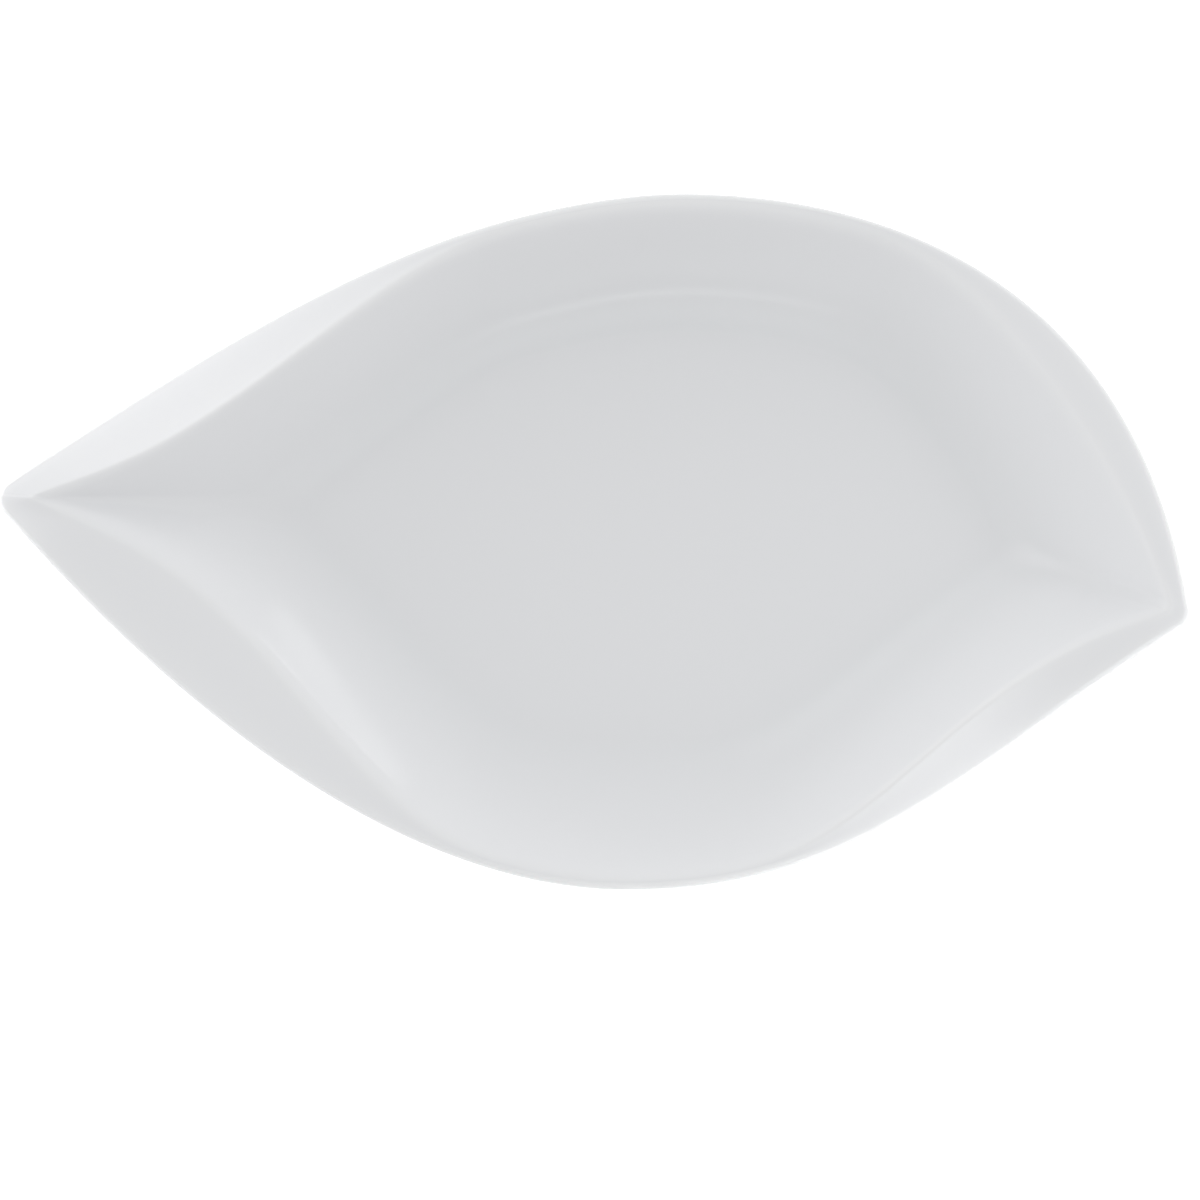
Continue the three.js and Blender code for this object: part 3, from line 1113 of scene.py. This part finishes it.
@dataclass
class GlazeCoat:
    """A closed coat of glaze over a run of the body's rings, tapering where it was wiped off the foot.

    The two gains say how strongly painted shade darkens a hollow and a painted highlight lightens an edge, by
    how sharply the body bends there, and the smoothing steps say how far that evens out.
    """

    body: PorcelainBody
    name: str
    node: str
    first: int
    last: int
    slot: str = "glaze"
    # How strongly bending gives painted shade in hollows and a painted highlight on edges, and how far it is
    # smoothed.
    shade_gain: float = 20.0
    highlight_gain: float = 3.0
    smoothing_steps: int = 6
    lip_share: float = 0.1
    # The mesh attribute that holds the mask of painted shade and painted highlight.
    painted_light_name = "glaze_depth"

    def build(self) -> bpy.types.Object:
        """Builds the coat from the body's own rings and normals.

        Returns:
            The coat.
        """
        section = self.body.form.section
        rings = self.body.rings[self.first : self.last]
        normals = self.body.normals[self.first : self.last]
        front = rings + normals * (section.glaze_gap + section.glaze * self.taper(rings))
        back = rings + normals * section.glaze_gap
        coat = RingMesh(rings.shape[1])
        front_starts = [coat.add(ring) for ring in front]
        back_starts = [coat.add(ring) for ring in back]
        coat.bands(front_starts)
        coat.bands(back_starts[::-1])
        from_middle = self.first == 0
        middle, lip = (0, -1) if from_middle else (-1, 0)
        coat.cap(front[middle], front_starts[middle], outwards=from_middle)
        coat.cap(back[middle], back_starts[middle], outwards=not from_middle)
        lips = (front_starts[lip], back_starts[lip])
        coat.band(*(lips if from_middle else lips[::-1]))
        self.piece = coat.make(self.name)
        # The mask of painted shade and painted highlight, the same on the coat's front and back.
        painted_shading = self.painted_shading(rings, normals).ravel()
        attribute = self.piece.data.attributes.new(self.painted_light_name, "FLOAT", "POINT")
        attribute.data.foreach_set("value", np.concatenate((painted_shading, painted_shading, [0.0, 0.0])))
        return self.piece

    def painted_shading(self, rings: np.ndarray, normals: np.ndarray) -> np.ndarray:
        """A mask of painted shade and painted highlight, from how the body bends under the coat.

        Args:
            rings: The body's rings under the coat.
            normals: Their normals.

        Returns:
            For each point up to 1 for painted shade in a hollow, down to -1 for a painted highlight on an
            edge.
        """
        step = np.gradient(rings, axis=0)
        bend = (step * np.gradient(normals, axis=0)).sum(axis=2) / (step * step).sum(axis=2)
        # Hollows get painted shade and edges a painted highlight, by how sharply the body bends.
        shading_mask = np.where(bend < 0, -self.shade_gain * bend, -self.highlight_gain * bend).clip(-1, 1)
        for _ in range(self.smoothing_steps):
            padded = np.pad(shading_mask, ((1, 1), (0, 0)), mode="edge")
            shading_mask = (padded[:-2] + 2 * shading_mask + padded[2:]) / 4
        return shading_mask

    def taper(self, rings: np.ndarray) -> np.ndarray:
        """How the glaze rounds off at the glaze line.

        Args:
            rings: The body's rings under the coat.

        Returns:
            The share of its full thickness that the glaze has at each point.
        """
        section = self.body.form.section
        above_line = np.clip((rings[..., 2:] - section.glaze_line) / section.glaze_taper, 0, 1)
        return lerp(self.lip_share, 1, np.sqrt(1 - (1 - above_line) ** 2))

    def dress(self, material: bpy.types.Material) -> None:
        """Gives the coat its finish and its place in the frame.

        Args:
            material: The glaze, which both coats share.
        """
        self.piece.data.materials.append(material)
        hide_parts(self.node)
        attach(self.piece, "root")


@dataclass(frozen=True)
class Viewpoint:
    """The camera: high above the near side, far off with a long lens."""

    azimuth: float = -90.0
    elevation: float = 80.0
    distance: float = 1600.0
    aim: tuple[float, float, float] = (2.4, -14.2, 0.0)
    lens: float = 155.7
    sensor: float = 36.0

    def build(self) -> bpy.types.Object:
        """Makes the camera and gives it to the scene.

        Returns:
            The camera.
        """
        camera = add_object("camera", bpy.data.cameras.new("camera"))
        camera.location = (Vector(self.aim) + direction(self.azimuth, self.elevation) * self.distance) * MM
        camera.rotation_euler = (math.radians(90 - self.elevation), 0.0, math.radians(90 + self.azimuth))
        camera.data.lens = self.lens
        camera.data.sensor_width = self.sensor
        bpy.context.scene.camera = camera
        return camera


@dataclass(frozen=True)
class Softbox:
    """A soft lamp that faces the plate, placed by the way it lies from the plate's middle.

    Its cloth is brightest in the middle and fades to its edge over a share of its half size, the feather. A
    lamp that isn't mirrored lights the plate's white without a reflection in its gloss.
    """

    name: str
    azimuth: float
    elevation: float
    width: float
    height: float
    radiance: float
    distance: float = 1500.0
    feather: float = 1.0
    mirrored: bool = True

    def build(self) -> bpy.types.Object:
        """Makes the lamp.

        Returns:
            The lamp, in the scene.
        """
        lamp = bpy.data.lights.new(self.name, "AREA")
        lamp.shape = "RECTANGLE"
        lamp.size = self.width * MM
        lamp.size_y = self.height * MM
        lamp.energy = math.pi * lamp.size * lamp.size_y * self.radiance
        self.fade(lamp)
        piece = add_object(self.name, lamp)
        way = direction(self.azimuth, self.elevation)
        piece.location = way * self.distance * MM
        piece.rotation_euler = (-way).to_track_quat("-Z", "Y").to_euler()
        piece.visible_camera = False
        piece.visible_glossy = self.mirrored
        return piece

    def fade(self, lamp: bpy.types.AreaLight) -> None:
        """Makes the lamp fade towards its edge.

        Args:
            lamp: The lamp's data.
        """
        node = partial(add_node, empty_tree(lamp))
        across = node("NewGeometry").outputs["Parametric"]
        from_middle = node(
            "VectorMath",
            {"operation": "MULTIPLY_ADD"},
            Vector=across,
            Vector_001=(2.0, 2.0, 0.0),
            Vector_002=(-1.0, -1.0, 0.0),
        ).outputs[0]
        inwards = node("TexGradient", {"gradient_type": "SPHERICAL"}, Vector=from_middle).outputs["Fac"]
        soft = {"interpolation_type": "SMOOTHSTEP"}
        brightness = node("MapRange", soft, Value=inwards, From_Max=self.feather).outputs["Result"]
        node("OutputLight", Surface=node("Emission", Strength=brightness).outputs[0])


@dataclass
class Studio:
    """A white paper sweep under soft light from all round.

    The room is brightest low on its far left wall: its light grows evenly towards a point there, which lies
    below the floor.
    """

    ambient: float = 0.43
    wall_light: float = 0.49
    wall_azimuth: float = 120.0
    wall_elevation: float = -60.0
    floor_glow: float = 0.6
    floor_size: float = 8000.0
    paper: str = "f2f2f2"
    white: str = "ffffff"

    def build(self) -> None:
        """Makes the floor, the world and the lamps."""
        self.build_floor()
        self.build_world()
        for lamp in self.lamps():
            lamp.build()
            log.info("lamp %s", lamp.name)

    def lamps(self) -> list[Softbox]:
        """The lamps round the plate.

        Returns:
            High soft ones, low ones that fill the walls, and strips on the floor beside the falling brims.
        """
        fill = partial(Softbox, mirrored=False)
        strip = partial(fill, elevation=2.5, height=28, feather=0.4)
        return [
            Softbox("right_wide", azimuth=0, elevation=32, width=2544, height=860, radiance=2.18),
            Softbox("near_wide", azimuth=270, elevation=32, width=2544, height=860, radiance=0.49),
            Softbox("left_high", azimuth=144, elevation=58, width=1993, height=1400, radiance=0.89),
            Softbox("near_high", azimuth=285, elevation=68, width=2400, height=1700, radiance=0.45),
            Softbox("near_line", azimuth=276, elevation=49, width=2400, height=330, radiance=0.97),
            Softbox(
                "far_right_spot",
                azimuth=52.4,
                elevation=11.1,
                width=155,
                height=137,
                radiance=0.95,
                distance=1294,
                feather=0.3,
            ),
            fill("far_left_low", azimuth=120, elevation=12, width=1694, height=638, radiance=2.28),
            fill("left_near_low", azimuth=210, elevation=12, width=1694, height=638, radiance=1.41),
            fill("right_low", azimuth=5, elevation=6, width=900, height=300, radiance=13.7),
            fill("left_low", azimuth=185, elevation=6, width=900, height=300, radiance=11.8),
            strip("left_strip", azimuth=165, width=160, radiance=16.0, distance=330),
            strip("near_strip", azimuth=-46, width=320, radiance=14.0, distance=340),
        ]

    @staticmethod
    def seen_directly(tree: bpy.types.NodeTree) -> bpy.types.NodeSocket:
        """Tells the rays that show the background: from the camera, off gloss or through glass.

        Args:
            tree: The node tree that asks.

        Returns:
            An output that is 1 for those rays and 0 for all others.
        """
        node = partial(add_node, tree)
        either = {"operation": "MAXIMUM"}
        rays = node("LightPath").outputs
        gloss = node("Math", either, Value=rays["Is Camera Ray"], Value_001=rays["Is Glossy Ray"])
        return node("Math", either, Value=gloss.outputs[0], Value_001=rays["Is Transmission Ray"]).outputs[0]

    def build_floor(self) -> bpy.types.Object:
        """Lays the paper, which is lifted to white where it is seen and still takes the plate's shadow.

        Returns:
            The floor.
        """
        half = self.floor_size * MM / 2
        mesh = bpy.data.meshes.new("paper_floor")
        corners = [(-half, -half, 0), (half, -half, 0), (half, half, 0), (-half, half, 0)]
        mesh.from_pydata(corners, [], [(0, 1, 2, 3)])
        floor = add_object("paper_floor", mesh)
        material = bpy.data.materials.new("white_paper_sweep")
        tree = empty_tree(material)
        node = partial(add_node, tree)
        paper = node("BsdfDiffuse", Color=hex_colour(self.paper))
        seen = self.seen_directly(tree)
        lift = node("Math", {"operation": "MULTIPLY"}, Value=seen, Value_001=self.floor_glow)
        glow = node("Emission", Strength=lift.outputs[0])
        both = node("AddShader", Shader=paper.outputs[0], Shader_001=glow.outputs[0])
        node("OutputMaterial", Surface=both.outputs[0])
        material.cycles.emission_sampling = "NONE"
        mesh.materials.append(material)
        return floor

    def build_world(self) -> None:
        """Lights the plate from all round, and shows white."""
        world = bpy.data.worlds.new("studio")
        bpy.context.scene.world = world
        tree = empty_tree(world)
        node = partial(add_node, tree)
        way = node("TexCoord").outputs["Generated"]
        brightest = direction(self.wall_azimuth, self.wall_elevation)
        towards = node("VectorMath", {"operation": "DOT_PRODUCT"}, Vector=way, Vector_001=brightest)
        strength = node(
            "MapRange",
            Value=towards.outputs["Value"],
            From_Min=-1.0,
            To_Min=self.ambient,
            To_Max=self.ambient + 2 * self.wall_light,
        ).outputs["Result"]
        room = node("Background", Color=hex_colour(self.white), Strength=strength)
        white = node("Background", Color=hex_colour(self.white), Strength=1.0)
        seen = self.seen_directly(tree)
        shown = node("MixShader", Fac=seen, Shader=room.outputs[0], Shader_001=white.outputs[0])
        node("OutputWorld", Surface=shown.outputs[0])


@dataclass
class OvalPlate:
    """The whole plate: its fired body and the two coats of glaze."""

    form: PlateForm

    def build(self) -> None:
        """Builds the body, then the glaze over it."""
        self.body = PorcelainBody(self.form)
        self.body.build()
        ring_count = len(self.body.rings)
        self.coats = [
            GlazeCoat(self.body, "face_glaze_coat", "face_glaze", 0, self.body.bare_start),
            GlazeCoat(self.body, "base_glaze_coat", "base_glaze", self.body.bare_end, ring_count),
        ]
        for coat in self.coats:
            coat.build()

    def dress(self) -> None:
        """Gives every piece its finish."""
        self.body.dress(GroundBiscuit())
        glaze = GlazedPorcelain().build()
        for coat in self.coats:
            coat.dress(glaze)

    def pieces(self) -> list[bpy.types.Object]:
        """The plate's pieces, from the inside out."""
        return [part.piece for part in (self.body, *self.coats)]


def main() -> None:
    """Builds the plate in the frame, lights it and sets up the camera."""
    logging.basicConfig(level=logging.INFO, format="%(message)s")
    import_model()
    Viewpoint().build()
    plate = OvalPlate(PlateForm(LeafPlan(), PlateSection()))
    plate.build()
    plate.dress()
    for piece in plate.pieces():
        log.info("piece %s: %d faces", piece.name, len(piece.data.polygons))
    Studio().build()
    bpy.context.scene.view_settings.view_transform = "Standard"


if __name__ == "__main__":
    main()
